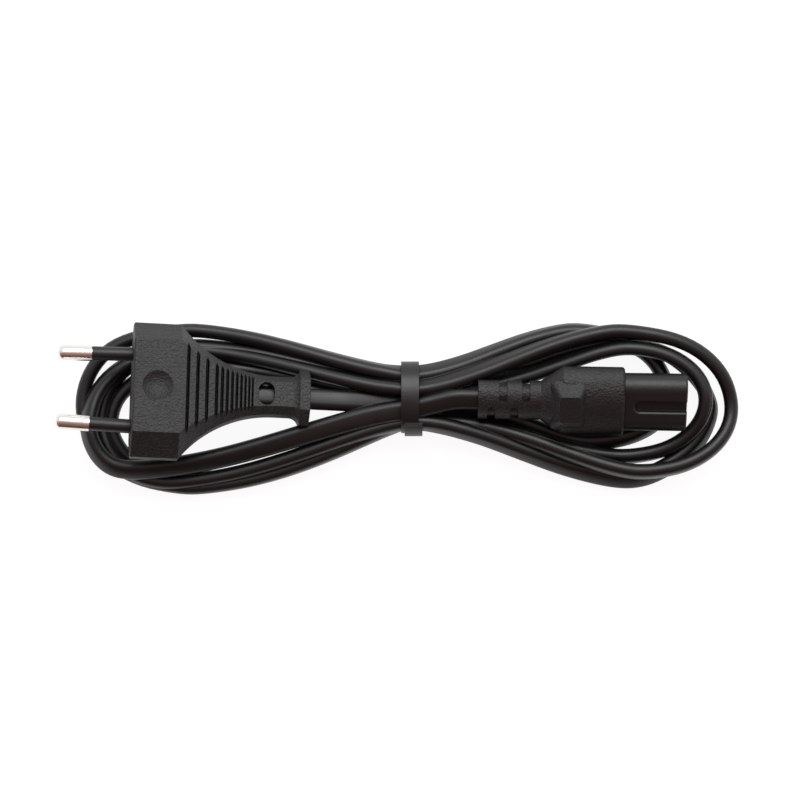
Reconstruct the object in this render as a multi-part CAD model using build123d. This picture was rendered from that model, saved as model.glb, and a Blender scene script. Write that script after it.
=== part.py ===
from build123d import *
import math
import os

# Flat twin mains cord folded into a tied hank, with a two-pin plug and a figure-eight connector.
# Millimetres, +Z up. The origin is on the floor under the middle, and +X runs from plug to connector.

# Cord: flat sheath over two insulated cores of stranded copper
CORD_WIDTH = 5.6
CORD_THICKNESS = 3.6
CORE_RADIUS = 1.1
CORE_SPACING = 2.6
STRAND_RADIUS = 0.6

# Plug grip: face block, ribbed flare, neck and rear flange
PLUG_LENGTH = 45.6
FACE_WIDTH = 35.3
FACE_HEIGHT = 13.7
FACE_CHAMFER = 5.5
NECK_WIDTH = 10.0
NECK_HEIGHT = 7.4
NECK_CHAMFER = 1.8
FLANGE_WIDTH = 14.4
FLANGE_HEIGHT = 9.2
FLANGE_CHAMFER = 3.2
FLANGE_THICKNESS = 2.6
FLANGE_BLEND = 2.4
SIDE_FLARE_START = 12.2
RIBS_START = 13.5
NECK_LENGTH = 9.0
PLUG_EDGE_RADIUS = 0.5

# Ribs across the grip: a few wide steps, then finer ones
WIDE_RIBS = 3
WIDE_RIB_PITCH = 2.5
FINE_RIBS = 9
FINE_RIB_TAPER = 0.59
RIBS_TO_WINDOW = 1.0
RIB_NOTCH = 1.1
RIB_GROOVE_WIDTH = 0.9
RIB_GROOVE_SHARE = 0.6

# Finger dish and cord window in the grip
DISH_DIAMETER = 7.9
DISH_DEPTH = 1.1
DISH_SETBACK = 6.3
WINDOW_FROM_REAR = 11.2
WINDOW_LENGTH = 4.1
WINDOW_WIDTH = 5.9

# Pins, their sleeves and the bridge that carries them
PIN_SPACING = 19.0
PIN_LENGTH = 19.0
PIN_DIAMETER = 4.0
PIN_TIP_RADIUS = 1.3
PIN_LEAN = 1.5
SLEEVE_LENGTH = 10.5
SLEEVE_DIAMETER = 3.6
SHANK_DIAMETER = 2.5
PIN_COLLAR_DIAMETER = 4.4
PIN_COLLAR_START = 2.0
PIN_COLLAR_LENGTH = 3.0
PIN_BARREL_DIAMETER = 3.4
PIN_BARREL_END = 11.0
PIN_BARREL_BORE_DEPTH = 5.0
BRIDGE_MARGIN = 3.3
BRIDGE_HEIGHT = 6.4
BRIDGE_LENGTH = 8.0

# Bare copper shows for this length between a barrel and the core's insulation
BARE_LENGTH = 0.8
# The sheath ends this far ahead of the plug's window, and this far inside the connector
SHEATH_PAST_WINDOW = 1.85
CONNECTOR_SHEATH_END = 17.5
CORE_BEND_RADIUS = 3.0

# Connector: slotted strain relief, flare, oval body, pad
RELIEF_LENGTH = 16.1
RELIEF_WIDTH = 10.4
RELIEF_HEIGHT = 7.6
CONNECTOR_FLARE_LENGTH = 5.7
BODY_LENGTH = 15.8
BODY_WIDTH = 18.6
BODY_HEIGHT = 11.0
BODY_EDGE_RADIUS = 0.8
SLOT_COUNT = 4
SLOT_FIRST = 3.4
SLOT_PITCH = 2.95
SLOT_WIDTH = 2.1
SLOT_INNER = 0.6
INNER_TUBE_SIDE_WALL = 1.5
INNER_TUBE_WALL = 1.0
PAD_START = 18.4
PAD_LENGTH = 10.2
PAD_WIDTH = 13.6
PAD_RISE = 1.3
PAD_DEPTH = 3.4
PAD_END_BEVEL = 2.4
PAD_SIDE_BEVEL = 3.2
PAD_CORNER_RADIUS = 1.6

# Figure-eight nose and its two contacts
BEVEL_ANGLE = 45
NOSE_LENGTH = 16.1
NOSE_WIDTH = 15.4
NOSE_HEIGHT = 7.6
NOSE_EDGE_RADIUS = 0.6
NOSE_ROOT = 4.0
GROOVE_WIDTH = 2.9
GROOVE_DEPTH = 1.7
GROOVE_SETBACK = 2.6
GROOVE_BEVEL = 0.35
CONTACT_SPACING = 8.6
CONTACT_BORE = 2.45
CONTACT_DIAMETER = 3.6
CONTACT_LENGTH = 12.5
CONTACT_SETBACK = 1.2
ENTRY_DIAMETER = 3.0
CONTACT_BARREL_DIAMETER = 3.2
CONTACT_BARREL_LENGTH = 6.8
CONTACT_BARREL_BORE_DEPTH = 4.5

# Hank: two fanned loops gathered at a waist, and the flat band round the waist
LEFT_LOOP_WIDTH = 11.2
RIGHT_LOOP_WIDTH = 9.4
LOOP_HEIGHT = 5.8
LOOP_CORNER_RADIUS = 2.4
TOP_STRAND_WIDTH = 5.6
TOP_STRAND_HEIGHT = 5.6
TOP_STRAND_SINK = 1.2
TOP_STRAND_CORNER_RADIUS = 1.6
INNER_TURN_HEIGHT = 5.7
INNER_TURN_WIDTH = 3.4
INNER_TURN_CORNER_RADIUS = 1.4
WAIST_WIDTH = 17.0
WAIST_HEIGHT = 13.0
WAIST_MARGIN = 3.2
LOOP_MARGIN = 2.2
TIE_WIDTH = 4.6
TIE_THICKNESS = 0.8
TIE_LAP_LENGTH = 10.4
TIE_LAP_SHIFT = 0.9
TIE_AT = (2.8, 2.9)

# Routes of the loops in plan, from the waist out and back
LEFT_LOOP = [
    (-13, 8.4), (-50, 17.2), (-64, 16.2), (-75.5, 10.2), (-78.9, 0.5),
    (-76.2, -8.5), (-66.5, -15.2), (-52, -17.2), (-35, -14.3), (-12, -5.4),
]
RIGHT_LOOP = [
    (17, 8.6), (40, 17.6), (56, 18.3), (73, 15), (82, 6.5), (83.6, -2.5),
    (77.5, -10.8), (62, -15.6), (48, -14.8), (18, -2.8),
]
INNER_TURN = [(56, 15.5), (66.5, 13.6), (70.8, 2.5), (65.5, -7.2), (50, -9.4), (30, -4.6), (9, 1)]
TOP_STRAND = [(-73, -12.4), (-64, -16), (-50, -14.2), (-15, -4.2)]
LEFT_LOOP_Y = (6.4, -1.4)
RIGHT_LOOP_Y = (6, -1.6)
TOP_STRAND_Y = -0.6

# How the plug and the connector lie on the hank
PLUG_FACE_AT = (-68.5, 4.7)
PLUG_YAW = -2.8
PLUG_PITCH = 8.0
PLUG_ROLL = -13.4
CONNECTOR_REAR_AT = (20.3, 2.4)
CONNECTOR_YAW = -0.9
CONNECTOR_ROLL = 22.0
REST_GAP = 0.15
PLUG_LEAD_BEND = 6.4
CONNECTOR_LEAD_BEND = 4.2
PLUG_LEAD_END_HEIGHT = 6.4
CONNECTOR_LEAD_END_HEIGHT = 8.8
RUN_SHARE = 0.45

NECK_START = PLUG_LENGTH - NECK_LENGTH
WINDOW_SETBACK = PLUG_LENGTH - WINDOW_FROM_REAR
WINDOW_FRONT = WINDOW_SETBACK - WINDOW_LENGTH / 2
RIBS_END = WINDOW_FRONT - RIBS_TO_WINDOW
PLUG_SHEATH_END = WINDOW_FRONT - SHEATH_PAST_WINDOW
BRIDGE_WIDTH = PIN_SPACING + 2 * BRIDGE_MARGIN
BODY_START = RELIEF_LENGTH + CONNECTOR_FLARE_LENGTH
BODY_END = BODY_START + BODY_LENGTH
NOSE_TIP = BODY_END + NOSE_LENGTH
CONTACT_FRONT = NOSE_TIP - CONTACT_SETBACK
CONTACT_REAR = CONTACT_FRONT - CONTACT_LENGTH
CONTACT_BARREL_END = CONTACT_REAR - CONTACT_BARREL_LENGTH


def rod(radius, start, end):
    """Round bar along X."""
    return Pos((start + end) / 2, 0, 0) * Rot(0, 90, 0) * Cylinder(radius, end - start)


def prism_along_x(sketch, start, end):
    """Section drawn in Y and Z, carried along X."""
    return extrude(Plane.YZ.offset(start) * sketch, end - start)


def tangent_route(points):
    """Straight runs joined by tangent arcs, each as large as its two runs allow."""
    vectors = [Vector(*p) for p in points]
    radii = []
    for before, at, after in zip(vectors, vectors[1:], vectors[2:]):
        turn = math.radians((at - before).get_angle(after - at))
        shorter = min((at - before).length, (after - at).length)
        radii.append(RUN_SHARE * shorter / math.tan(turn / 2))
    return FilletPolyline(*vectors, radius=radii), radii


def swept(section, route, across):
    """Section carried along a route, with its width along the given direction at the start."""
    start = Plane(origin=route @ 0, x_dir=across, z_dir=route % 0)
    return sweep(start * section, path=route)


# Plug


def flare_height(x, start, face, neck):
    """Half height of the grip at x, on the arc that runs out into the neck."""
    length = NECK_START - start
    drop = face - neck
    radius = (length**2 + drop**2) / (2 * drop)
    return neck + radius - math.sqrt(radius**2 - (NECK_START - x) ** 2)


def rib_edges():
    """Positions of the ribs' rear edges behind the face. The fine ribs get finer towards the window."""
    edges = [RIBS_START + i * WIDE_RIB_PITCH for i in range(WIDE_RIBS + 1)]
    middle_pitch = (RIBS_END - edges[-1]) / FINE_RIBS
    first_pitch = 2 * middle_pitch / (1 + FINE_RIB_TAPER)
    for i in range(FINE_RIBS):
        share = i / (FINE_RIBS - 1)
        edges.append(edges[-1] + first_pitch * (1 - share * (1 - FINE_RIB_TAPER)))
    return edges


def rear_outline(neck, flange):
    """Neck, blend and flange of a grip outline, back to the axis."""
    flange_front = PLUG_LENGTH - FLANGE_THICKNESS
    blend_start = (flange_front - FLANGE_BLEND, neck)
    blend = TangentArc(blend_start, (flange_front, flange), tangent=(1, 0))
    end = Polyline((flange_front, flange), (PLUG_LENGTH, flange), (PLUG_LENGTH, 0), (0, 0))
    return [Line((NECK_START, neck), blend_start), blend, end]


def both_halves(edges):
    """Face from a half outline above the X axis and its mirror image."""
    half = make_face(edges)
    return half + mirror(half, about=Plane.XZ)


def smooth_outline(face, neck, flange):
    """Grip outline with a smooth flare."""
    front = Polyline((0, 0), (0, face), (SIDE_FLARE_START, face))
    flare = TangentArc((NECK_START, neck), (SIDE_FLARE_START, face), tangent=(-1, 0))
    return both_halves([front, flare] + rear_outline(neck, flange))


def ribbed_outline(face, neck, flange):
    """Grip outline whose flare goes down in steps, with a sharp groove behind each rib."""
    edges = rib_edges()
    points = [(0, 0), (0, face), (RIBS_START, face)]
    for x, following in zip(edges, edges[1:]):
        tread = flare_height(following, RIBS_START, face, neck)
        groove = min(RIB_GROOVE_WIDTH, RIB_GROOVE_SHARE * (following - x))
        points.append((x + groove / 2, tread - RIB_NOTCH))
        points.append((x + groove, tread))
        points.append((following, tread))
    flare = TangentArc((NECK_START, neck), points[-1], tangent=(-1, 0))
    return both_halves([Polyline(*points), flare] + rear_outline(neck, flange))


def bevel_distance(width, height, chamfer):
    """Distance of a section's 45 degree bevel from the axis."""
    return (width / 2 + height / 2 - chamfer) / math.sqrt(2)


def plug_outer():
    """Eight-sided grip, where its plan, its ribbed side and its two bevelled outlines meet."""
    plan = smooth_outline(FACE_WIDTH / 2, NECK_WIDTH / 2, FLANGE_WIDTH / 2)
    side = ribbed_outline(FACE_HEIGHT / 2, NECK_HEIGHT / 2, FLANGE_HEIGHT / 2)
    bevel = smooth_outline(
        bevel_distance(FACE_WIDTH, FACE_HEIGHT, FACE_CHAMFER),
        bevel_distance(NECK_WIDTH, NECK_HEIGHT, NECK_CHAMFER),
        bevel_distance(FLANGE_WIDTH, FLANGE_HEIGHT, FLANGE_CHAMFER),
    )
    body = extrude(plan, FACE_WIDTH, both=True)
    body &= Rot(90, 0, 0) * extrude(side, FACE_WIDTH, both=True)
    for angle in (45, -45):
        body &= Rot(angle, 0, 0) * extrude(bevel, FACE_WIDTH, both=True)
    front = body.faces().sort_by(Axis.X)[0]
    return fillet(front.edges(), PLUG_EDGE_RADIUS)


def finger_dishes():
    """Two shallow round hollows, one in each broad face."""
    radius = ((DISH_DIAMETER / 2) ** 2 + DISH_DEPTH**2) / (2 * DISH_DEPTH)
    height = FACE_HEIGHT / 2 - DISH_DEPTH + radius
    return [Pos(DISH_SETBACK, 0, side * height) * Sphere(radius) for side in (1, -1)]


def cord_window():
    """Rounded opening through the grip, which shows the cord."""
    outline = Rot(0, 0, 90) * SlotOverall(WINDOW_WIDTH, WINDOW_LENGTH)
    return Pos(WINDOW_SETBACK, 0, 0) * extrude(outline, FACE_HEIGHT, both=True)


def pin_place(side):
    """Place of a pin on the plug's face. The pins lean together towards their tips."""
    return Pos(0, side * PIN_SPACING / 2, 0) * Rot(0, 0, side * PIN_LEAN)


def pin():
    """Turned pin with a round tip, a thinner shank, a collar in the bridge and a crimp barrel."""
    metal = rod(PIN_DIAMETER / 2, -PIN_LENGTH, -SLEEVE_LENGTH)
    tip = metal.edges().filter_by(GeomType.CIRCLE).sort_by(Axis.X)[0]
    metal = fillet(tip, PIN_TIP_RADIUS)
    shank = rod(SHANK_DIAMETER / 2, -SLEEVE_LENGTH, PIN_COLLAR_START)
    collar_end = PIN_COLLAR_START + PIN_COLLAR_LENGTH
    collar = rod(PIN_COLLAR_DIAMETER / 2, PIN_COLLAR_START, collar_end)
    barrel = rod(PIN_BARREL_DIAMETER / 2, collar_end, PIN_BARREL_END)
    return metal + shank + collar + barrel - pin_strands()


def pin_strands():
    """Bare copper from the bottom of the pin's barrel to the core."""
    return rod(STRAND_RADIUS, PIN_BARREL_END - PIN_BARREL_BORE_DEPTH, PIN_BARREL_END + BARE_LENGTH)


def sleeve():
    """Insulating sleeve round the pin's shank."""
    return rod(SLEEVE_DIAMETER / 2, -SLEEVE_LENGTH, 0) - rod(SHANK_DIAMETER / 2, -SLEEVE_LENGTH, 0)


def bridge():
    """Rigid carrier, flush with the plug's face, before the pins are cut from it."""
    return prism_along_x(SlotOverall(BRIDGE_WIDTH, BRIDGE_HEIGHT), 0, BRIDGE_LENGTH)


def core(points):
    """Insulated core along a bent route."""
    route = FilletPolyline(*points, radius=CORE_BEND_RADIUS)
    return swept(Circle(CORE_RADIUS), route, (0, 0, 1))


def plug_core(side):
    """Core from the sheath's end out to a pin's barrel."""
    ahead = pin_place(side) * Pos(PIN_BARREL_END + BARE_LENGTH, 0, 0)
    bend = pin_place(side) * Pos(PIN_BARREL_END + BARE_LENGTH + CORE_BEND_RADIUS, 0, 0)
    inner = side * CORE_SPACING / 2
    inner_bend = PLUG_SHEATH_END - 2 * CORE_RADIUS
    return core([ahead.position, bend.position, (inner_bend, inner, 0), (PLUG_SHEATH_END, inner, 0)])


def sheath(start, end):
    """Straight length of the flat cord along X."""
    return prism_along_x(SlotOverall(CORD_WIDTH, CORD_THICKNESS), start, end)


def plug_pieces():
    """Every piece of the plug in its own frame, with the face at X = 0 and the pins towards -X."""
    pieces = {"plug_body": plug_outer(), "pin_bridge": bridge()}
    behind_face = Pos(BRIDGE_LENGTH / 2, 0, 0) * Box(BRIDGE_LENGTH, FACE_WIDTH, FACE_HEIGHT)
    for side, name, colour in ((1, "upper", "brown"), (-1, "lower", "blue")):
        at = pin_place(side)
        pieces["pin_" + name] = at * pin()
        pieces["sleeve_" + name] = at * sleeve() - behind_face
        pieces["plug_strands_" + colour] = at * pin_strands()
        pieces["plug_core_" + colour] = plug_core(side)
    for name in ("pin_upper", "pin_lower", "plug_strands_brown", "plug_strands_blue"):
        pieces["pin_bridge"] -= pieces[name]
    body = pieces["plug_body"] - bridge() - cord_window() - sheath(PLUG_SHEATH_END, PLUG_LENGTH)
    body -= finger_dishes()
    for name, piece in pieces.items():
        if name.startswith(("pin_upper", "pin_lower", "plug_strands", "plug_core")):
            body -= piece
    pieces["plug_body"] = body
    return pieces


# Connector


def oval(width, height):
    """Oval section of the connector."""
    return Ellipse(width / 2, height / 2)


def relief_slots():
    """Cuts across the strain relief, from alternate sides, that let it bend."""
    slots = []
    for i in range(SLOT_COUNT):
        side = 1 if i % 2 else -1
        middle = side * (SLOT_INNER + RELIEF_WIDTH / 2)
        outline = Rot(0, 0, 90) * SlotOverall(RELIEF_WIDTH, SLOT_WIDTH)
        cut = extrude(outline, RELIEF_HEIGHT, both=True)
        slots.append(Pos(SLOT_FIRST + i * SLOT_PITCH, middle, 0) * cut)
    return slots


def pad():
    """Raised pad with bevelled sides on the broad face."""
    top = BODY_HEIGHT / 2 + PAD_RISE
    middle = PAD_START + PAD_LENGTH / 2
    base = RectangleRounded(PAD_LENGTH, PAD_WIDTH, PAD_CORNER_RADIUS)
    crown_size = (PAD_LENGTH - 2 * PAD_END_BEVEL, PAD_WIDTH - 2 * PAD_SIDE_BEVEL)
    crown = RectangleRounded(*crown_size, PAD_CORNER_RADIUS / 2)
    return loft([Pos(middle, 0, top - PAD_DEPTH) * base, Pos(middle, 0, top) * crown])


def connector_outer():
    """Strain relief round its inner tube, flare and oval body with its pad."""
    relief_oval = oval(RELIEF_WIDTH, RELIEF_HEIGHT)
    body_oval = oval(BODY_WIDTH, BODY_HEIGHT)
    relief = prism_along_x(relief_oval, 0, RELIEF_LENGTH)
    flare = loft([Plane.YZ.offset(RELIEF_LENGTH) * relief_oval, Plane.YZ.offset(BODY_START) * body_oval])
    body = prism_along_x(body_oval, BODY_START, BODY_END)
    end = body.edges().sort_by(Axis.X)[-1]
    tube_width = CORD_WIDTH + 2 * INNER_TUBE_SIDE_WALL
    tube_height = CORD_THICKNESS + 2 * INNER_TUBE_WALL
    tube = prism_along_x(SlotOverall(tube_width, tube_height), 0, RELIEF_LENGTH)
    return relief - relief_slots() + tube + flare + fillet(end, BODY_EDGE_RADIUS) + pad()


def contact_place(side):
    """Axis of a contact."""
    return Pos(0, side * CONTACT_SPACING / 2, 0)


def contact_envelope():
    """Room that a contact and its barrel take up."""
    socket = rod(CONTACT_DIAMETER / 2, CONTACT_REAR, CONTACT_FRONT)
    return socket + rod(CONTACT_BARREL_DIAMETER / 2, CONTACT_BARREL_END, CONTACT_REAR)


def contact_strands():
    """Bare copper from the bottom of the contact's barrel to the core."""
    bottom = CONTACT_BARREL_END + CONTACT_BARREL_BORE_DEPTH
    return rod(STRAND_RADIUS, CONTACT_BARREL_END - BARE_LENGTH, bottom)


def contact():
    """Female contact with a crimp barrel."""
    return contact_envelope() - rod(CONTACT_BORE / 2, CONTACT_REAR, CONTACT_FRONT) - contact_strands()


def nose_outer():
    """Nose with a groove in each broad face, and its root in the body."""
    nose = prism_along_x(SlotOverall(NOSE_WIDTH, NOSE_HEIGHT), BODY_END - NOSE_ROOT, NOSE_TIP)
    front = nose.faces().sort_by(Axis.X)[-1]
    nose = fillet(front.edges(), NOSE_EDGE_RADIUS)
    groove_start = BODY_END + GROOVE_SETBACK
    groove = extrude(SlotOverall(2 * NOSE_LENGTH, GROOVE_WIDTH), GROOVE_DEPTH)
    mouth = SlotOverall(2 * (NOSE_LENGTH + GROOVE_BEVEL), GROOVE_WIDTH + 2 * GROOVE_BEVEL)
    bevel = extrude(Pos(0, 0, GROOVE_DEPTH) * mouth, -GROOVE_BEVEL, taper=BEVEL_ANGLE)
    for turn in (0, 180):
        cut = Pos(groove_start + NOSE_LENGTH, 0, NOSE_HEIGHT / 2 - GROOVE_DEPTH) * (groove + bevel)
        nose -= Rot(turn, 0, 0) * cut
    return nose


def connector_core(side):
    """Core from the sheath's end to a contact's barrel."""
    outer = side * CONTACT_SPACING / 2
    inner = side * CORE_SPACING / 2
    front = CONTACT_BARREL_END - BARE_LENGTH
    points = [(front, outer, 0), (front - 2 * CORE_RADIUS, outer, 0)]
    points += [(CONNECTOR_SHEATH_END + 2 * CORE_RADIUS, inner, 0), (CONNECTOR_SHEATH_END, inner, 0)]
    return core(points)


def connector_pieces():
    """Every piece of the connector in its own frame, with the strain relief's end at X = 0."""
    body = connector_outer() - sheath(0, CONNECTOR_SHEATH_END)
    insert = nose_outer()
    body -= insert
    pieces = {}
    for side, name, colour in ((1, "upper", "brown"), (-1, "lower", "blue")):
        at = contact_place(side)
        pieces["contact_" + name] = at * contact()
        pieces["connector_strands_" + colour] = at * contact_strands()
        pieces["connector_core_" + colour] = connector_core(side)
        insert -= at * (contact_envelope() + rod(ENTRY_DIAMETER / 2, CONTACT_FRONT, NOSE_TIP))
        body -= at * contact_envelope()
        body -= pieces["connector_strands_" + colour]
        body -= pieces["connector_core_" + colour]
    pieces["connector_body"] = body
    pieces["connector_insert"] = insert
    return pieces


# Hank and band


def waist_section(margin):
    """Oval section of the gathered cord at the waist, grown by a margin."""
    section = Ellipse(WAIST_WIDTH / 2 + margin, WAIST_HEIGHT / 2 + margin)
    return Pos(TIE_AT[1], TIE_THICKNESS + WAIST_HEIGHT / 2) * section


def bundle(points, width, height, corner, floor=0):
    """Rounded bundle of cord that lies level along a route in plan."""
    route, _ = tangent_route([(x, y, floor + height / 2) for x, y in points])
    edges = route.order_edges()
    middle = len(edges) // 2
    section = RectangleRounded(width, height, corner)
    halves = [Wire(edges[:middle]), Wire(edges[middle:])]
    first, second = [swept(section, half, (half % 0).cross(Vector(0, 0, 1))) for half in halves]
    return first + second


def hank():
    """Outer shape of the whole hank: waist, two loops, short inner turn and the strand laid on top."""
    half = TIE_WIDTH / 2 + WAIST_MARGIN
    solid = prism_along_x(waist_section(0), TIE_AT[0] - half, TIE_AT[0] + half)
    reach = TIE_WIDTH / 2 + LOOP_MARGIN
    left, right = TIE_AT[0] - reach, TIE_AT[0] + reach
    left_loop = [(left, LEFT_LOOP_Y[0])] + LEFT_LOOP + [(left, LEFT_LOOP_Y[1])]
    right_loop = [(right, RIGHT_LOOP_Y[0])] + RIGHT_LOOP + [(right, RIGHT_LOOP_Y[1])]
    solid += bundle(left_loop, LEFT_LOOP_WIDTH, LOOP_HEIGHT, LOOP_CORNER_RADIUS)
    solid += bundle(right_loop, RIGHT_LOOP_WIDTH, LOOP_HEIGHT, LOOP_CORNER_RADIUS)
    solid += bundle(INNER_TURN, INNER_TURN_WIDTH, INNER_TURN_HEIGHT, INNER_TURN_CORNER_RADIUS)
    strand_floor = LOOP_HEIGHT - TOP_STRAND_SINK
    strand = TOP_STRAND + [(left, TOP_STRAND_Y)]
    solid += bundle(strand, TOP_STRAND_WIDTH, TOP_STRAND_HEIGHT, TOP_STRAND_CORNER_RADIUS, strand_floor)
    return solid


def tie_band():
    """Flat band round the waist, with its end lapped over itself on the -Y side."""
    start = TIE_AT[0] - TIE_WIDTH / 2
    band = prism_along_x(waist_section(TIE_THICKNESS), start, start + TIE_WIDTH)
    band -= prism_along_x(waist_section(0), start, start + TIE_WIDTH)
    lap_start = start + TIE_LAP_SHIFT
    lap = prism_along_x(waist_section(2 * TIE_THICKNESS), lap_start, lap_start + TIE_WIDTH)
    lap -= prism_along_x(waist_section(TIE_THICKNESS), lap_start, lap_start + TIE_WIDTH)
    side = TIE_AT[1] - WAIST_WIDTH / 2
    middle = TIE_THICKNESS + WAIST_HEIGHT / 2
    return band + (lap & Pos(lap_start, side, middle) * Box(4 * TIE_WIDTH, WAIST_WIDTH / 2, TIE_LAP_LENGTH))


# Placing


def plug_place():
    """Place of the plug, tilted so that its block lies on the upper left bundle."""
    tilt = Rot(0, 0, PLUG_YAW) * Rot(0, PLUG_PITCH, 0) * Rot(PLUG_ROLL, 0, 0)
    flat = FACE_WIDTH / 2 - FACE_CHAMFER
    lowest = (tilt * Pos(RIBS_START, flat, -FACE_HEIGHT / 2)).position.Z
    return Pos(PLUG_FACE_AT[0], PLUG_FACE_AT[1], LOOP_HEIGHT + REST_GAP - lowest) * tilt


def connector_place():
    """Place of the connector, rolled on its axis with the nose on the inner turn."""
    tilt = Rot(0, 0, CONNECTOR_YAW) * Rot(CONNECTOR_ROLL, 0, 0)
    flat = (NOSE_WIDTH - NOSE_HEIGHT) / 2
    below = flat * math.sin(math.radians(CONNECTOR_ROLL)) + NOSE_HEIGHT / 2
    return Pos(CONNECTOR_REAR_AT[0], CONNECTOR_REAR_AT[1], INNER_TURN_HEIGHT + REST_GAP + below) * tilt


def lead(name, place, inside, bend, end):
    """Flat cord from inside a moulding, out along its axis and over to the waist."""
    points = [(place * Pos(x, 0, 0)).position for x in (inside, bend)] + [Vector(*end)]
    route, radii = tangent_route([tuple(p) for p in points])
    across = (place * Pos(0, 1, 0)).position - place.position
    solid = swept(SlotOverall(CORD_WIDTH, CORD_THICKNESS), route, across)
    expected = SlotOverall(CORD_WIDTH, CORD_THICKNESS).area * route.length
    print(f"{name}: radii {radii}, volume {solid.volume:.1f}, section times length {expected:.1f}")
    return solid


def nodes():
    """Every piece in its place."""
    at_plug, at_connector = plug_place(), connector_place()
    pieces = {name: at_plug * piece for name, piece in plug_pieces().items()}
    pieces |= {name: at_connector * piece for name, piece in connector_pieces().items()}
    pieces["cord_hank"] = hank()
    pieces["tie_band"] = tie_band()
    half = TIE_WIDTH / 2 + WAIST_MARGIN
    left_end = (TIE_AT[0] - half, TIE_AT[1], PLUG_LEAD_END_HEIGHT)
    right_end = (TIE_AT[0] + half, TIE_AT[1], CONNECTOR_LEAD_END_HEIGHT)
    plug_bend = PLUG_LENGTH + PLUG_LEAD_BEND
    pieces["plug_lead"] = lead("plug_lead", at_plug, PLUG_SHEATH_END, plug_bend, left_end)
    connector_run = (CONNECTOR_SHEATH_END, -CONNECTOR_LEAD_BEND)
    pieces["connector_lead"] = lead("connector_lead", at_connector, *connector_run, right_end)
    for name in ("plug_lead", "connector_lead"):
        pieces[name] -= pieces["cord_hank"]
    return pieces


os.makedirs("parts", exist_ok=True)
for name, shape in nodes().items():
    shape.label = name
    export_step(shape, f"parts/{name}.step")
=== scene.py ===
"""Looks of a black flat mains cord, folded into a tied hank, with its plug and its connector."""

import logging
import math
from dataclasses import dataclass, field
from enum import Enum
from typing import Optional, Union

import bpy
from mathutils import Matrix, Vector


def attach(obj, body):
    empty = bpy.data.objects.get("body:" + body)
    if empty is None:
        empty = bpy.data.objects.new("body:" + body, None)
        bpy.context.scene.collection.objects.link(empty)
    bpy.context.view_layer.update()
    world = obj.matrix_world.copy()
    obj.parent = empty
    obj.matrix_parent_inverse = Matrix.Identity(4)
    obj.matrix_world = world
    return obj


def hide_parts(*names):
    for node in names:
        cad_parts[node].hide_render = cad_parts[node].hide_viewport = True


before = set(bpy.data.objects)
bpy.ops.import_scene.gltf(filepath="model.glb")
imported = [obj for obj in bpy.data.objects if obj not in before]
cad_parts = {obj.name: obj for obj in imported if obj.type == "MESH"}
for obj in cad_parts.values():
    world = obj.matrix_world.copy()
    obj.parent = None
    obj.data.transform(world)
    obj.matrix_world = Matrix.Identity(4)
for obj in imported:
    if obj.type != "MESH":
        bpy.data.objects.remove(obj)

LOG = logging.getLogger("power_cord")
MM = 0.001
UP = Vector((0, 0, 1))

Colour = tuple[float, float, float]
Place = tuple[float, float, float]

# Width of the flat cord, and its gap to the floor, in millimetres
CORD_WIDTH = 5.6
FLOOR_GAP = 0.1
# Height of the cord's middle where it stands on the floor on its narrow side, in millimetres
LOW = CORD_WIDTH / 2 + FLOOR_GAP
# Middle of the band round the waist, along X, in millimetres
TIE_X = 2.8


class Graph:
    """A material's or world's node tree, with one way to add any node."""

    # Sockets of the Mix node that carry colours
    MIX_FIRST = 6
    MIX_SECOND = 7
    MIX_RESULT = 2

    def __init__(self, tree: bpy.types.NodeTree) -> None:
        """Empties the tree.

        Args:
            tree: node tree of a material or world.
        """
        self.tree = tree
        tree.nodes.clear()

    def node(
        self, kind: str, settings: Optional[dict] = None, values: Optional[dict] = None
    ) -> bpy.types.Node:
        """Adds a node.

        Args:
            kind: Blender's node type.
            settings: the node's own properties.
            values: sockets by name or number, each given a value or a Signal.
        Returns:
            The new node.
        """
        added = self.tree.nodes.new(kind)
        for name, setting in (settings or {}).items():
            setattr(added, name, setting)
        for key, value in (values or {}).items():
            if isinstance(value, Signal):
                self.tree.links.new(value.socket, added.inputs[key])
            else:
                added.inputs[key].default_value = value
        return added

    def signal(self, kind: str, output: Union[str, int], *rest: Optional[dict]) -> "Signal":
        """Adds a node, given its settings and values, and returns one of its outputs."""
        return Signal(self, self.node(kind, *rest).outputs[output])

    def mix(
        self, share: "Operand", low: Union[Colour, "Signal"], high: Union[Colour, "Signal"]
    ) -> "Signal":
        """Adds a blend of two colours.

        Args:
            share: 0 for the first colour, 1 for the second.
            low: first colour, linear RGB or a signal.
            high: second colour, linear RGB or a signal.
        Returns:
            The blended colour.
        """
        ends = [c if isinstance(c, Signal) else (*c, 1) for c in (low, high)]
        values = {"Factor": share, self.MIX_FIRST: ends[0], self.MIX_SECOND: ends[1]}
        return self.signal("ShaderNodeMix", self.MIX_RESULT, {"data_type": "RGBA"}, values)

    def noise(self, scale: float, detail: float = 2.0) -> "Signal":
        """Adds noise fixed to the object.

        Args:
            scale: bumps per metre.
            detail: finer layers of noise.
        Returns:
            The noise, from 0 to 1.
        """
        place = self.signal("ShaderNodeTexCoord", "Object")
        values = {"Vector": place, "Scale": scale, "Detail": detail}
        return self.signal("ShaderNodeTexNoise", 0, None, values)


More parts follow.
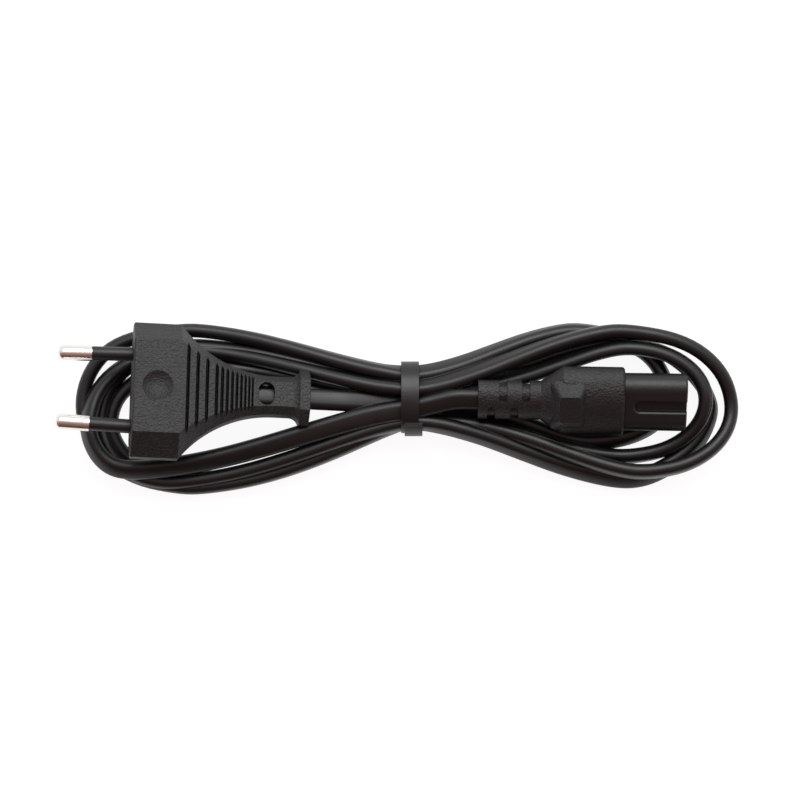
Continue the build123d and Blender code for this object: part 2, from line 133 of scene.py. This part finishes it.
@dataclass(frozen=True)
class Signal:
    """An output socket, with arithmetic that adds Math nodes."""

    graph: Graph
    socket: bpy.types.NodeSocket

    def _math(self, operation: str, left: "Operand", right: "Operand") -> "Signal":
        """Adds a Math node of two operands."""
        return self.graph.signal("ShaderNodeMath", 0, {"operation": operation}, {0: left, 1: right})

    def __add__(self, other: "Operand") -> "Signal":
        """Sum."""
        return self._math("ADD", self, other)

    def __radd__(self, other: "Operand") -> "Signal":
        """Sum, with the plain number first."""
        return self._math("ADD", other, self)

    def __sub__(self, other: "Operand") -> "Signal":
        """Difference."""
        return self._math("SUBTRACT", self, other)

    def __rsub__(self, other: "Operand") -> "Signal":
        """Difference, with the plain number first."""
        return self._math("SUBTRACT", other, self)

    def __mul__(self, other: "Operand") -> "Signal":
        """Product."""
        return self._math("MULTIPLY", self, other)

    def __rmul__(self, other: "Operand") -> "Signal":
        """Product, with the plain number first."""
        return self._math("MULTIPLY", other, self)

    def clamped(self) -> "Signal":
        """Value kept between 0 and 1."""
        return self.graph.signal("ShaderNodeClamp", 0, None, {"Value": self})


Operand = Union[Signal, float]


def new_material(name: str) -> tuple[bpy.types.Material, Graph]:
    """Makes a material with no nodes yet.

    Args:
        name: the material's name.
    Returns:
        The material and its node tree.
    """
    made = bpy.data.materials.new(name)
    made.use_nodes = True
    return made, Graph(made.node_tree)


def varied(middle: float, spread: float, noise: Signal) -> Signal:
    """Lets noise move a value up and down.

    Args:
        middle: the value halfway up the noise.
        spread: the farthest step from it.
        noise: noise from 0 to 1.
    Returns:
        The value, kept between 0 and 1.
    """
    return (middle - spread + 2 * spread * noise).clamped()


@dataclass(frozen=True)
class Grain:
    """Fine bumps of a moulded or extruded surface."""

    per_metre: float
    depth: float
    strength: float
    detail: float = 3.0


@dataclass(frozen=True)
class Plastic:
    """Moulded or extruded plastic with a fine grain, softened edges and clouds of duller gloss.

    A cloud is as wide as cloud_width grains.
    """

    colour: Colour
    roughness: float
    grain: Grain
    colour_spread: float = 0.18
    roughness_spread: float = 0.08
    cloud_width: float = 14
    edge_radius: float = 0.2 * MM
    edge_samples: int = 6

    def material(self, name: str) -> bpy.types.Material:
        """Builds the material.

        Args:
            name: the material's name.
        Returns:
            The material.
        """
        made, graph = new_material(name)
        bumps = graph.noise(self.grain.per_metre, self.grain.detail)
        clouds = graph.noise(self.grain.per_metre / self.cloud_width)
        edge_settings = {"samples": self.edge_samples}
        rounded = graph.signal("ShaderNodeBevel", 0, edge_settings, {"Radius": self.edge_radius})
        bump_values = {
            "Height": bumps,
            "Strength": self.grain.strength,
            "Distance": self.grain.depth,
            "Normal": rounded,
        }
        dark = tuple(c * (1 - self.colour_spread) for c in self.colour)
        light = tuple(c * (1 + self.colour_spread) for c in self.colour)
        values = {
            "Base Color": graph.mix(bumps, dark, light),
            "Roughness": varied(self.roughness, self.roughness_spread, clouds),
            "Normal": graph.signal("ShaderNodeBump", 0, None, bump_values),
        }
        shader = graph.signal("ShaderNodeBsdfPrincipled", 0, None, values)
        graph.node("ShaderNodeOutputMaterial", None, {"Surface": shader})
        return made


@dataclass(frozen=True)
class Metal:
    """Plated or bare metal with a faint haze."""

    colour: Colour
    roughness: float
    roughness_spread: float = 0.05
    haze_per_metre: float = 700.0
    haze_detail: float = 3.0

    def material(self, name: str) -> bpy.types.Material:
        """Builds the material.

        Args:
            name: the material's name.
        Returns:
            The material.
        """
        made, graph = new_material(name)
        haze = graph.noise(self.haze_per_metre, self.haze_detail)
        values = {
            "Base Color": (*self.colour, 1),
            "Metallic": 1.0,
            "Roughness": varied(self.roughness, self.roughness_spread, haze),
        }
        shader = graph.signal("ShaderNodeBsdfPrincipled", 0, None, values)
        graph.node("ShaderNodeOutputMaterial", None, {"Surface": shader})
        return made


class Finish(Enum):
    """Finishes, each with the record's slot as its name."""

    moulding = Plastic((0.0055, 0.0055, 0.0061), 0.46, Grain(1700, 0.35 * MM, 0.8))
    cord = Plastic((0.0045, 0.0045, 0.0049), 0.4, Grain(2600, 0.06 * MM, 0.3))
    sleeve = Plastic((0.007, 0.007, 0.0078), 0.42, Grain(2600, 0.06 * MM, 0.3))
    insert = Plastic((0.006, 0.006, 0.0064), 0.42, Grain(2600, 0.12 * MM, 0.5))
    band = Plastic((0.008, 0.008, 0.0087), 0.4, Grain(2200, 0.08 * MM, 0.4))
    bridge = Plastic((0.03, 0.03, 0.032), 0.5, Grain(3000, 0.04 * MM, 0.3))
    core_brown = Plastic((0.16, 0.06, 0.025), 0.35, Grain(2500, 0.02 * MM, 0.2))
    core_blue = Plastic((0.03, 0.12, 0.4), 0.35, Grain(2500, 0.02 * MM, 0.2))
    pin_metal = Metal((0.86, 0.82, 0.78), 0.16)
    contact_metal = Metal((0.78, 0.62, 0.3), 0.25)
    copper = Metal((0.78, 0.42, 0.28), 0.35)


@dataclass
class Paint:
    """Makes each finish once and puts it on pieces."""

    made: dict[Finish, bpy.types.Material] = field(default_factory=dict)

    def put(self, piece: bpy.types.Object, finish: Finish) -> None:
        """Gives a piece one finish.

        Args:
            piece: mesh object.
            finish: the finish that covers it.
        """
        if finish not in self.made:
            self.made[finish] = finish.value.material(finish.name)
        piece.data.materials.clear()
        piece.data.materials.append(self.made[finish])


def ease(share: float) -> float:
    """Smooth step from 0 to 1.

    Args:
        share: place along the step, cut off at 0 and 1.
    Returns:
        Height of the step there.
    """
    kept = min(max(share, 0.0), 1.0)
    return kept * kept * (3 - 2 * kept)


def between(start: float, end: float, share: float) -> float:
    """Value at a share of the way from one value to another."""
    return start + (end - start) * share


@dataclass(frozen=True)
class Station:
    """A control point of the cord's line, in millimetres, and its section's lean in degrees.

    The lean is 0 where the cord lies flat.
    """

    place: Place
    lean: float


@dataclass(frozen=True)
class Leg:
    """One side of a turn, from the waist out to its widest point, in millimetres and degrees.

    A bias over 1 keeps the leg near the waist's Y for longer. A bulge under 1 makes the round end
    beyond the widest point fuller than an ellipse. The margin before the first station and after
    the last is counted in steps.
    """

    waist: tuple[float, float]
    peak: Place
    bias: float = 1.0
    waist_lean: float = 78
    peak_lean: float = 78
    bulge: float = 1.0
    count: int = 5
    margin: float = 0.7

    def stations(self) -> list[Station]:
        """Works out the leg between the waist and the widest point.

        Returns:
            The stations, from the waist outwards.
        """
        found = []
        for i in range(self.count):
            along = (i + self.margin) / (self.count - 1 + 2 * self.margin)
            x = between(TIE_X, self.peak[0], along)
            y = between(self.waist[0], self.peak[1], ease(along**self.bias))
            z = between(self.waist[1], self.peak[2], ease(along))
            lean = between(self.waist_lean, self.peak_lean, ease(along))
            found.append(Station((x, y, z), lean))
        return found

    def at_waist(self) -> Station:
        """Station in the middle of the band."""
        return Station((TIE_X, *self.waist), self.waist_lean)


@dataclass(frozen=True)
class HalfTurn:
    """One loop of the hank: out along a leg, round the end and back along the other leg.

    The way back from the end is a quarter ellipse, or else goes by the places given.
    """

    first: Leg
    end: Place
    second: Leg
    back_by: tuple[Place, ...] = ()
    arc_steps: int = 6

    def on_arc(self, share: float) -> Station:
        """Station of the round end, which is two quarter ellipses.

        Args:
            share: 0 at the first leg's widest point, 0.5 at the end and 1 at the second leg's.
        Returns:
            The station.
        """
        leg = self.first if share <= 0.5 else self.second
        angle = math.pi * share
        side = abs(math.cos(angle))
        x = between(leg.peak[0], self.end[0], math.sin(angle) ** leg.bulge)
        y = between(self.end[1], leg.peak[1], side)
        z = between(self.end[2], leg.peak[2], side)
        return Station((x, y, z), between(self.first.peak_lean, self.second.peak_lean, share))

    def stations(self) -> list[Station]:
        """Works out the whole turn.

        Returns:
            The stations, up to and with the turn's last crossing of the waist.
        """
        arc = [self.on_arc(i / self.arc_steps) for i in range(self.arc_steps + 1)]
        if self.back_by:
            arc = arc[: self.arc_steps // 2 + 1]
            arc += [Station(place, self.second.peak_lean) for place in self.back_by]
        return self.first.stations() + arc + self.second.stations()[::-1] + [self.second.at_waist()]


# The turns in the order in which the cord runs through them, right and left by turns
TURNS = (
    HalfTurn(
        first=Leg((1.6, 6.8), (50, -9, LOW), bias=1.45, waist_lean=60, peak_lean=60),
        end=(70.4, 2.2, LOW),
        second=Leg((3.4, 3.6), (56.5, 17.5, LOW)),
    ),
    HalfTurn(
        first=Leg((2.2, 3.6), (-55, 11.3, LOW), bias=0.75),
        end=(-75.6, -3, LOW),
        second=Leg((-1.2, 4.8), (-62, -16.3, LOW), bias=1.15),
    ),
    HalfTurn(
        first=Leg((-1.2, 4.8), (60, -12.7, 3.5)),
        end=(80, 2, 8.4),
        second=Leg((5.3, 4.9), (60, 16.1, 8.3), bias=1.58, waist_lean=30),
    ),
    HalfTurn(
        first=Leg((7.4, 5.3), (-56, 16.3, LOW), bias=0.89),
        end=(-78.2, -2.5, LOW),
        second=Leg((-3.4, 8.2), (-62, -19.4, 4.5), bias=0.78, peak_lean=84),
    ),
    HalfTurn(
        first=Leg((-3.4, 8.2), (61.3, -18.6, LOW), bias=0.98, waist_lean=66, peak_lean=42, bulge=1.5),
        end=(81.4, -1, LOW),
        second=Leg((8.7, 8), (47, 20.5, LOW), bias=0.98, waist_lean=55, peak_lean=80),
        back_by=(
            (80.2, 3.9, LOW),
            (77.6, 7.7, LOW),
            (74.2, 11.1, LOW),
            (70.2, 14, LOW),
            (65, 16, LOW),
            (57, 18.7, LOW),
            (47, 20.5, LOW),
        ),
    ),
    HalfTurn(
        first=Leg((8.7, 8), (-57, 20.5, LOW), bias=0.87, peak_lean=88, bulge=0.7),
        end=(-83.2, 0, LOW),
        second=Leg((-3, 5.2), (-57, -20.8, LOW), bias=0.66, waist_lean=80, peak_lean=86),
    ),
    HalfTurn(
        first=Leg((-2.9, 5.2), (64, -16.7, 8.6), bias=1.3, waist_lean=80, peak_lean=76),
        end=(87.2, 0.1, 3.4),
        second=Leg((5.2, 9.9), (59, 20.3, 8.4), bias=0.93, waist_lean=50, peak_lean=88, bulge=0.9),
    ),
    HalfTurn(
        first=Leg((4.9, 9.9), (-58, 15.4, LOW), bias=0.88, waist_lean=75, peak_lean=86),
        end=(-80.9, -3, 7.4),
        second=Leg((-0.2, 10.6), (-71, -16.1, 8.2), bias=0.83, waist_lean=10, peak_lean=42),
    ),
)


@dataclass(frozen=True)
class CordEnd:
    """Straight run of the cord in and near a moulding, in millimetres and degrees.

    The reaches are measured along the moulding's axis, from where the cord comes out of it.
    """

    exit: Place
    axis: tuple[float, float, float]
    roll: float
    reaches: tuple[float, ...]

    def stations(self) -> list[Station]:
        """Works out the run.

        Returns:
            One station for each reach.
        """
        found = []
        for reach in self.reaches:
            place = Vector(self.exit) + Vector(self.axis) * reach
            found.append(Station(tuple(place), self.roll))
        return found


@dataclass(frozen=True)
class FlatCord:
    """The whole flat cord, from inside the plug to inside the connector, in millimetres.

    It dips from the plug into the band and rises out of the band to the connector.
    """

    width: float = CORD_WIDTH
    thickness: float = 3.6
    length: float = 1500
    plug_end: CordEnd = CordEnd(
        (-23.4, 2.5, 10.9), (0.9891, -0.0484, -0.1392), -13.4, (-15.1, -8, -1, 6, 11)
    )
    plug_dip: Place = (-3.5, 1.6, 7.4)
    turns: tuple[HalfTurn, ...] = TURNS
    connector_rise: Place = (9, 1.2, 10.8)
    connector_end: CordEnd = CordEnd((20.3, 2.4, 11.1), (0.9999, -0.0157, 0), 22, (-6, -1, 8, 17.5))
    section_points: int = 24
    spline_steps: int = 6
    spline_order: int = 3

    def route(self) -> list[Station]:
        """Control points of the cord's line.

        Returns:
            The stations, from the plug to the connector.
        """
        out = self.plug_end.stations()
        out.append(Station(self.plug_dip, self.plug_end.roll / 2))
        out.append(Station(self.turns[0].first.at_waist().place, 0))
        for turn in self.turns:
            out += turn.stations()
        out.append(Station(self.connector_rise, self.connector_end.roll))
        return out + self.connector_end.stations()

    def line(self, route: list[Station]) -> list[Vector]:
        """Reads points along the smooth spline whose control points are the route's.

        Args:
            route: the control points.
        Returns:
            The points, close together and in metres.
        """
        curve = bpy.data.curves.new("cord_line", "CURVE")
        curve.dimensions = "3D"
        curve.resolution_u = self.spline_steps
        spline = curve.splines.new("NURBS")
        spline.points.add(len(route) - 1)
        for point, station in zip(spline.points, route):
            point.co = (*(Vector(station.place) * MM), 1)
        spline.order_u = self.spline_order
        spline.use_endpoint_u = True
        carrier = bpy.data.objects.new("cord_line", curve)
        bpy.context.scene.collection.objects.link(carrier)
        bpy.context.view_layer.update()
        mesh = bpy.data.meshes.new_from_object(carrier)
        points = [v.co.copy() for v in mesh.vertices]
        bpy.data.meshes.remove(mesh)
        bpy.data.objects.remove(carrier)
        return points

    def leans(self, route: list[Station], count: int) -> list[float]:
        """Leans of the section, spread evenly from the control points over the line's points.

        Args:
            route: the control points.
            count: number of points on the line.
        Returns:
            One angle for each point, in radians.
        """
        found = []
        for i in range(count):
            at = (len(route) - 1) * i / (count - 1)
            low = min(int(at), len(route) - 2)
            found.append(math.radians(between(route[low].lean, route[low + 1].lean, at - low)))
        return found

    def section(self) -> list[tuple[float, float]]:
        """Outlines the flat section, which has round edges.

        Returns:
            Its corners, as (across, up) pairs in metres.
        """
        radius = self.thickness * MM / 2
        flat = self.width * MM / 2 - radius
        found = []
        for i in range(self.section_points):
            angle = 2 * math.pi * (i + 0.5) / self.section_points
            across = math.copysign(flat, math.cos(angle)) + radius * math.cos(angle)
            found.append((across, radius * math.sin(angle)))
        return found

    def corners(self, points: list[Vector], leans: list[float]) -> list[Vector]:
        """Puts a ring of the section's shape round each point.

        Args:
            points: points along the cord.
            leans: the section's lean at each point.
        Returns:
            The corners, ring after ring.
        """
        section = self.section()
        last = len(points) - 1
        found = []
        for i, (point, lean) in enumerate(zip(points, leans)):
            ahead = (points[min(i + 1, last)] - points[max(i - 1, 0)]).normalized()
            side = UP.cross(ahead).normalized()
            up = ahead.cross(side)
            across = side * math.cos(lean) + up * math.sin(lean)
            through = up * math.cos(lean) - side * math.sin(lean)
            found += [point + across * a + through * b for a, b in section]
        return found

    def faces(self, rings: int) -> list[tuple[int, ...]]:
        """Joins each ring to the next and closes both ends.

        Args:
            rings: number of rings.
        Returns:
            The corners' numbers of each face.
        """
        count = self.section_points
        found = []
        for low in range(0, (rings - 1) * count, count):
            high = low + count
            for j in range(count):
                k = (j + 1) % count
                found.append((low + j, low + k, high + k, high + j))
        found.append(tuple(range(count))[::-1])
        found.append(tuple(range((rings - 1) * count, rings * count)))
        return found

    def build(self, paint: Paint) -> None:
        """Args:
            paint: the finishes.
        """
        route = self.route()
        points = self.line(route)
        corners = self.corners(points, self.leans(route, len(points)))
        mesh = bpy.data.meshes.new("cord")
        mesh.from_pydata(corners, [], self.faces(len(points)))
        mesh.shade_smooth()
        piece = bpy.data.objects.new("cord", mesh)
        bpy.context.scene.collection.objects.link(piece)
        paint.put(piece, Finish.cord)
        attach(piece, "root")
        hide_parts("cord_hank", "plug_lead", "connector_lead")
        length = sum((b - a).length for a, b in zip(points, points[1:]))
        LOG.info("cord: %.3f m of line, %d points", length, len(points))


@dataclass(frozen=True)
class Dressed:
    """A sub-assembly whose CAD pieces each get a finish."""

    name: str
    finishes: dict[str, Finish]

    def build(self, paint: Paint) -> None:
        """Puts the finishes on.

        Args:
            paint: the finishes.
        """
        for node, finish in self.finishes.items():
            paint.put(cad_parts[node], finish)
            LOG.info("%s: %s in %s", self.name, node, finish.name)


PLUG = Dressed("plug", {
    "plug_body": Finish.moulding,
    "pin_bridge": Finish.bridge,
    "pin_upper": Finish.pin_metal,
    "pin_lower": Finish.pin_metal,
    "sleeve_upper": Finish.sleeve,
    "sleeve_lower": Finish.sleeve,
    "plug_core_brown": Finish.core_brown,
    "plug_core_blue": Finish.core_blue,
    "plug_strands_brown": Finish.copper,
    "plug_strands_blue": Finish.copper,
})
CONNECTOR = Dressed("connector", {
    "connector_body": Finish.moulding,
    "connector_insert": Finish.insert,
    "contact_upper": Finish.contact_metal,
    "contact_lower": Finish.contact_metal,
    "connector_core_brown": Finish.core_brown,
    "connector_core_blue": Finish.core_blue,
    "connector_strands_brown": Finish.copper,
    "connector_strands_blue": Finish.copper,
})
BAND = Dressed("band", {"tie_band": Finish.band})


@dataclass(frozen=True)
class Softbox:
    """A square white light that points at the origin, in metres and watts."""

    name: str
    place: Place
    width: float
    watts: float

    def build(self) -> None:
        """Makes the light."""
        light = bpy.data.lights.new(self.name, "AREA")
        light.energy = self.watts
        light.size = self.width
        lamp = bpy.data.objects.new(self.name, light)
        lamp.location = self.place
        lamp.rotation_euler = (-Vector(self.place)).to_track_quat("-Z", "Y").to_euler()
        bpy.context.scene.collection.objects.link(lamp)


class ShowingRay(Enum):
    """Light Path's kinds of rays that show the floor, not those that carry its light to the object."""

    CAMERA = "Is Camera Ray"
    GLOSSY = "Is Glossy Ray"
    TRANSMISSION = "Is Transmission Ray"


@dataclass(frozen=True)
class Studio:
    """Camera straight above, white floor and soft light, in metres.

    The room is cool and bright to the north, towards +Y, and warm and darker to the south. Each
    fade between its colours has a slope along Y, and a share that it adds or takes off at Y = 0.
    """

    camera_place: Place = (0.2 * MM, 2.2 * MM, 800 * MM)
    focal_length_mm: float = 137.7
    floor_width: float = 60.0
    floor_colour: Colour = (0.55, 0.55, 0.55)
    floor_glow: float = 1.32
    floor_glow_share: float = 0.7
    room_north: Colour = (0.9, 0.91, 0.95)
    room_south: Colour = (0.45, 0.25, 0.2)
    room_far_south: Colour = (0.11, 0.07, 0.06)
    north_slope: float = 2.5
    north_added: float = 0.4
    far_south_slope: float = -1.4
    far_south_taken: float = 0.25
    key: Softbox = Softbox("key", (0.1, 0.62, 0.8), width=0.6, watts=5.5)

    def camera(self) -> None:
        """Makes the camera."""
        data = bpy.data.cameras.new("camera")
        data.lens = self.focal_length_mm
        camera = bpy.data.objects.new("camera", data)
        camera.location = self.camera_place
        bpy.context.scene.collection.objects.link(camera)
        bpy.context.scene.camera = camera

    def white(self) -> bpy.types.Material:
        """Makes the floor's material, which keeps the shadow on white.

        Returns:
            The material.
        """
        made, graph = new_material("floor")
        plain = graph.signal("ShaderNodeBsdfDiffuse", 0, None, {"Color": (*self.floor_colour, 1)})
        glow = graph.signal("ShaderNodeEmission", 0, None, {"Strength": self.floor_glow})
        path = graph.node("ShaderNodeLightPath")
        shown = sum(Signal(graph, path.outputs[ray.value]) for ray in ShowingRay).clamped()
        share = shown * self.floor_glow_share
        mixed = graph.signal("ShaderNodeMixShader", 0, None, {0: share, 1: plain, 2: glow})
        graph.node("ShaderNodeOutputMaterial", None, {"Surface": mixed})
        return made

    def floor(self) -> None:
        """Makes the floor."""
        half = self.floor_width / 2
        mesh = bpy.data.meshes.new("floor")
        corners = [(-half, -half, 0), (half, -half, 0), (half, half, 0), (-half, half, 0)]
        mesh.from_pydata(corners, [], [(0, 1, 2, 3)])
        mesh.materials.append(self.white())
        piece = bpy.data.objects.new("floor", mesh)
        bpy.context.scene.collection.objects.link(piece)

    def room(self) -> None:
        """Makes the room whose light falls on the object and shows in its gloss."""
        world = bpy.data.worlds.new("room")
        world.use_nodes = True
        bpy.context.scene.world = world
        graph = Graph(world.node_tree)
        way = graph.signal("ShaderNodeTexCoord", "Generated")
        axes = graph.node("ShaderNodeSeparateXYZ", None, {0: way})
        along = Signal(graph, axes.outputs["Y"])
        north = (along * self.north_slope + self.north_added).clamped()
        far_south = (along * self.far_south_slope - self.far_south_taken).clamped()
        colour = graph.mix(north, self.room_south, self.room_north)
        colour = graph.mix(far_south, colour, self.room_far_south)
        lit = graph.signal("ShaderNodeBackground", 0, None, {"Color": colour})
        graph.node("ShaderNodeOutputWorld", None, {"Surface": lit})

    def build(self) -> None:
        """Makes everything round the object."""
        bpy.context.scene.view_settings.view_transform = "Standard"
        self.camera()
        self.floor()
        self.room()
        self.key.build()
        LOG.info("studio: camera, floor, room and one light")


def main() -> None:
    """Builds every sub-assembly and the studio."""
    logging.basicConfig(level=logging.INFO, format="%(message)s")
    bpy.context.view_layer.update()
    paint = Paint()
    for assembly in (PLUG, CONNECTOR, BAND, FlatCord()):
        assembly.build(paint)
    Studio().build()


if __name__ == "__main__":
    main()
